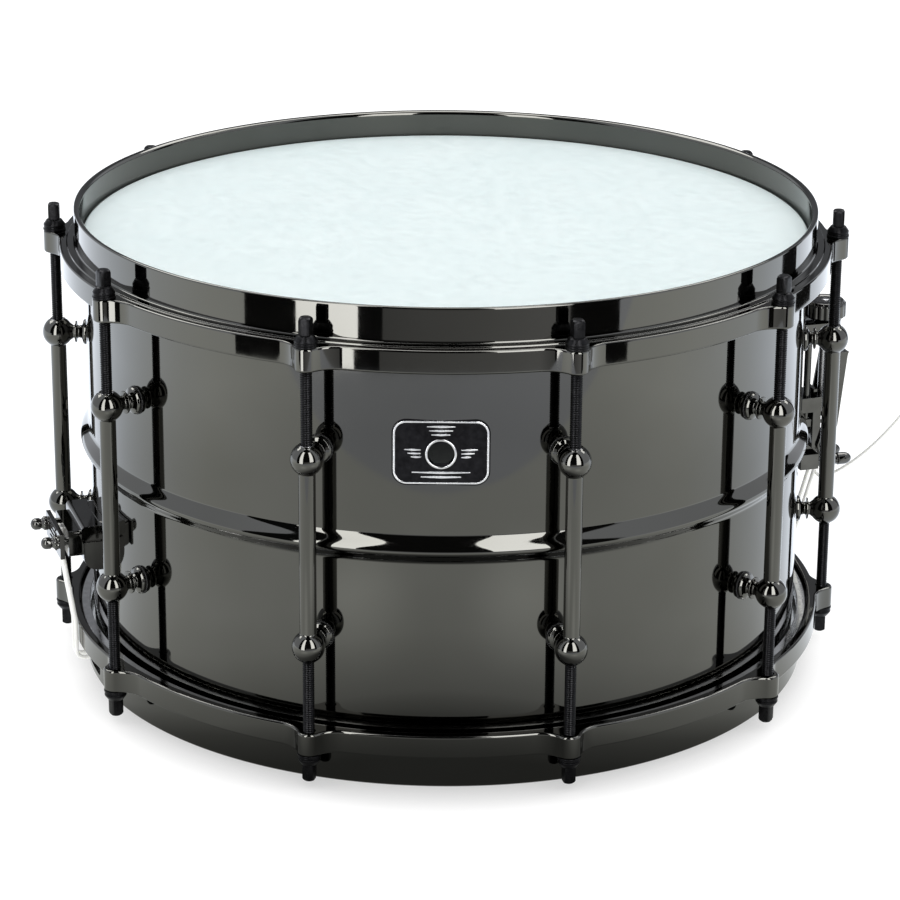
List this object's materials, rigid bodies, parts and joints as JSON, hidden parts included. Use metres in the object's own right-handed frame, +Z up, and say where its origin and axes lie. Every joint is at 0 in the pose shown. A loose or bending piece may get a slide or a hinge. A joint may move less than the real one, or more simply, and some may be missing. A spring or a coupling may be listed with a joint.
{
  "type": "snare drum",
  "caption": "Deep metal-shell snare drum with a centre bead, tube lugs, die-cast hoops, tension rods, a throw-off strainer, a butt clamp and a set of snares under the lower head.",
  "frame": {"origin": "centre of the lower rim's resting face, on the drum's axis", "axes": "+Z up along the drum's axis from the resting rim to the playing head; -Y points to the badge; +X completes the frame, towards the strainer's side"},
  "size_m": [0.4377, 0.3804, 0.23],
  "materials": {
    "black_nickel": "mirror-bright black nickel plate on brass and zinc castings",
    "bright_nickel": "bright, lightly brushed",
    "badge_enamel": "black enamel with a raised bright border",
    "coated_film": "smooth white-coated film",
    "clear_film": "thin hazy film",
    "black_rod": "satin black plated steel, threaded",
    "black_washer": "satin black",
    "zinc_steel": "bright zinc plate",
    "wire_steel": "bright coiled steel wire",
    "gasket_rubber": "thin soft black gasket",
    "nylon_cord": "translucent white nylon"
  },
  "bodies": {
    "drum": {"shell": "black_nickel", "badge": "badge_enamel", "vent_grommet": "bright_nickel", "batter_head_film": "coated_film", "batter_head_ring": "bright_nickel", "snare_head_film": "clear_film", "snare_head_ring": "bright_nickel", "batter_hoop": "black_nickel", "snare_hoop": "black_nickel", "lug_tubes": "black_nickel", "lug_posts": "black_nickel", "lug_gaskets": "gasket_rubber", "lug_nuts": "zinc_steel", "lug_screws": "zinc_steel", "inner_washers": "zinc_steel", "batter_rod_washers": "black_washer", "snare_rod_washers": "black_washer", "strainer_base": "black_nickel", "bracket_gaskets": "gasket_rubber", "bracket_screws": "zinc_steel", "strainer_guide_pins": "zinc_steel", "butt_body": "black_nickel", "butt_clamp_plate": "black_nickel", "snare_cord_butt": "nylon_cord"},
    "tension_knob": {"tension_knob": "black_nickel", "tension_screw": "zinc_steel"},
    "carriage": {"strainer_carriage": "black_nickel", "lever_pivot_pin": "zinc_steel"},
    "lever": {"strainer_lever": "black_nickel", "lever_crank_pin": "zinc_steel"},
    "slider": {"strainer_slider": "black_nickel", "strainer_clamp_plate": "black_nickel", "snare_cord_strainer": "nylon_cord"},
    "snares": {"snare_wires": "wire_steel", "snare_end_plates": "wire_steel", "snare_cord_inner": "nylon_cord"},
    "strainer_thumb_1": {"strainer_clamp_screw_1": "black_nickel"},
    "strainer_thumb_2": {"strainer_clamp_screw_2": "black_nickel"},
    "butt_thumb_1": {"butt_clamp_screw_1": "black_nickel"},
    "butt_thumb_2": {"butt_clamp_screw_2": "black_nickel"},
    "batter_rod_1": {"batter_rod_1": "black_rod"},
    "batter_rod_2": {"batter_rod_2": "black_rod"},
    "batter_rod_3": {"batter_rod_3": "black_rod"},
    "batter_rod_4": {"batter_rod_4": "black_rod"},
    "batter_rod_5": {"batter_rod_5": "black_rod"},
    "batter_rod_6": {"batter_rod_6": "black_rod"},
    "batter_rod_7": {"batter_rod_7": "black_rod"},
    "batter_rod_8": {"batter_rod_8": "black_rod"},
    "batter_rod_9": {"batter_rod_9": "black_rod"},
    "batter_rod_10": {"batter_rod_10": "black_rod"},
    "snare_rod_1": {"snare_rod_1": "black_rod"},
    "snare_rod_2": {"snare_rod_2": "black_rod"},
    "snare_rod_3": {"snare_rod_3": "black_rod"},
    "snare_rod_4": {"snare_rod_4": "black_rod"},
    "snare_rod_5": {"snare_rod_5": "black_rod"},
    "snare_rod_6": {"snare_rod_6": "black_rod"},
    "snare_rod_7": {"snare_rod_7": "black_rod"},
    "snare_rod_8": {"snare_rod_8": "black_rod"},
    "snare_rod_9": {"snare_rod_9": "black_rod"},
    "snare_rod_10": {"snare_rod_10": "black_rod"}
  },
  "joints": [
    {"name": "batter_rod_1_turn", "type": "hinge", "parent": "drum", "child": "batter_rod_1", "pos_m": [0.05933, -0.1826, 0.205], "axis": [0, 0, 1], "continuous": true},
    {"name": "snare_rod_1_turn", "type": "hinge", "parent": "drum", "child": "snare_rod_1", "pos_m": [0.05933, -0.1826, 0.025], "axis": [0, 0, 1], "continuous": true},
    {"name": "batter_rod_2_turn", "type": "hinge", "parent": "drum", "child": "batter_rod_2", "pos_m": [0.15533, -0.11285, 0.205], "axis": [0, 0, 1], "continuous": true},
    {"name": "snare_rod_2_turn", "type": "hinge", "parent": "drum", "child": "snare_rod_2", "pos_m": [0.15533, -0.11285, 0.025], "axis": [0, 0, 1], "continuous": true},
    {"name": "batter_rod_3_turn", "type": "hinge", "parent": "drum", "child": "batter_rod_3", "pos_m": [0.192, 0, 0.205], "axis": [0, 0, 1], "continuous": true},
    {"name": "snare_rod_3_turn", "type": "hinge", "parent": "drum", "child": "snare_rod_3", "pos_m": [0.192, 0, 0.025], "axis": [0, 0, 1], "continuous": true},
    {"name": "batter_rod_4_turn", "type": "hinge", "parent": "drum", "child": "batter_rod_4", "pos_m": [0.15533, 0.11285, 0.205], "axis": [0, 0, 1], "continuous": true},
    {"name": "snare_rod_4_turn", "type": "hinge", "parent": "drum", "child": "snare_rod_4", "pos_m": [0.15533, 0.11285, 0.025], "axis": [0, 0, 1], "continuous": true},
    {"name": "batter_rod_5_turn", "type": "hinge", "parent": "drum", "child": "batter_rod_5", "pos_m": [0.05933, 0.1826, 0.205], "axis": [0, 0, 1], "continuous": true},
    {"name": "snare_rod_5_turn", "type": "hinge", "parent": "drum", "child": "snare_rod_5", "pos_m": [0.05933, 0.1826, 0.025], "axis": [0, 0, 1], "continuous": true},
    {"name": "batter_rod_6_turn", "type": "hinge", "parent": "drum", "child": "batter_rod_6", "pos_m": [-0.05933, 0.1826, 0.205], "axis": [0, 0, 1], "continuous": true},
    {"name": "snare_rod_6_turn", "type": "hinge", "parent": "drum", "child": "snare_rod_6", "pos_m": [-0.05933, 0.1826, 0.025], "axis": [0, 0, 1], "continuous": true},
    {"name": "batter_rod_7_turn", "type": "hinge", "parent": "drum", "child": "batter_rod_7", "pos_m": [-0.15533, 0.11285, 0.205], "axis": [0, 0, 1], "continuous": true},
    {"name": "snare_rod_7_turn", "type": "hinge", "parent": "drum", "child": "snare_rod_7", "pos_m": [-0.15533, 0.11285, 0.025], "axis": [0, 0, 1], "continuous": true},
    {"name": "batter_rod_8_turn", "type": "hinge", "parent": "drum", "child": "batter_rod_8", "pos_m": [-0.192, 0, 0.205], "axis": [0, 0, 1], "continuous": true},
    {"name": "snare_rod_8_turn", "type": "hinge", "parent": "drum", "child": "snare_rod_8", "pos_m": [-0.192, 0, 0.025], "axis": [0, 0, 1], "continuous": true},
    {"name": "batter_rod_9_turn", "type": "hinge", "parent": "drum", "child": "batter_rod_9", "pos_m": [-0.15533, -0.11285, 0.205], "axis": [0, 0, 1], "continuous": true},
    {"name": "snare_rod_9_turn", "type": "hinge", "parent": "drum", "child": "snare_rod_9", "pos_m": [-0.15533, -0.11285, 0.025], "axis": [0, 0, 1], "continuous": true},
    {"name": "batter_rod_10_turn", "type": "hinge", "parent": "drum", "child": "batter_rod_10", "pos_m": [-0.05933, -0.1826, 0.205], "axis": [0, 0, 1], "continuous": true},
    {"name": "snare_rod_10_turn", "type": "hinge", "parent": "drum", "child": "snare_rod_10", "pos_m": [-0.05933, -0.1826, 0.025], "axis": [0, 0, 1], "continuous": true},
    {"name": "tension_knob_turn", "type": "hinge", "parent": "drum", "child": "tension_knob", "pos_m": [0.19449, 0.06319, 0.155], "axis": [0, 0, 1], "range_deg": [-540, 540]},
    {"name": "carriage_slide", "type": "slide", "parent": "drum", "child": "carriage", "axis": [0, 0, 1], "range_m": [-0.0012, 0.0012]},
    {"name": "lever_throw", "type": "hinge", "parent": "carriage", "child": "lever", "pos_m": [0.19306, 0.06273, 0.085], "axis": [-0.309, 0.9511, 0], "range_deg": [0, 75]},
    {"name": "slider_drop", "type": "slide", "parent": "carriage", "child": "slider", "axis": [0, 0, 1], "range_m": [-0.0048, 0]},
    {"name": "snare_drop", "type": "slide", "parent": "drum", "child": "snares", "axis": [0, 0, 1], "range_m": [-0.002, 0]},
    {"name": "strainer_thumb_1_turn", "type": "hinge", "parent": "slider", "child": "strainer_thumb_1", "pos_m": [0.20189, 0.05824, 0.0755], "axis": [0.9511, 0.309, 0], "continuous": true},
    {"name": "strainer_thumb_2_turn", "type": "hinge", "parent": "slider", "child": "strainer_thumb_2", "pos_m": [0.19756, 0.07155, 0.0755], "axis": [0.9511, 0.309, 0], "continuous": true},
    {"name": "butt_thumb_1_turn", "type": "hinge", "parent": "drum", "child": "butt_thumb_1", "pos_m": [-0.19629, -0.04958, 0.077], "axis": [-0.9511, -0.309, 0], "continuous": true},
    {"name": "butt_thumb_2_turn", "type": "hinge", "parent": "drum", "child": "butt_thumb_2", "pos_m": [-0.18794, -0.07526, 0.077], "axis": [-0.9511, -0.309, 0], "continuous": true}
  ],
  "couplings": [
    {"joint": "tension_knob_turn", "follows": "carriage_slide", "rad_per_m": 7854},
    {"joint": "lever_throw", "follows": "slider_drop", "rad_per_m": -272.71},
    {"joint": "snare_drop", "follows": "slider_drop", "ratio": 0.41667}
  ]
}
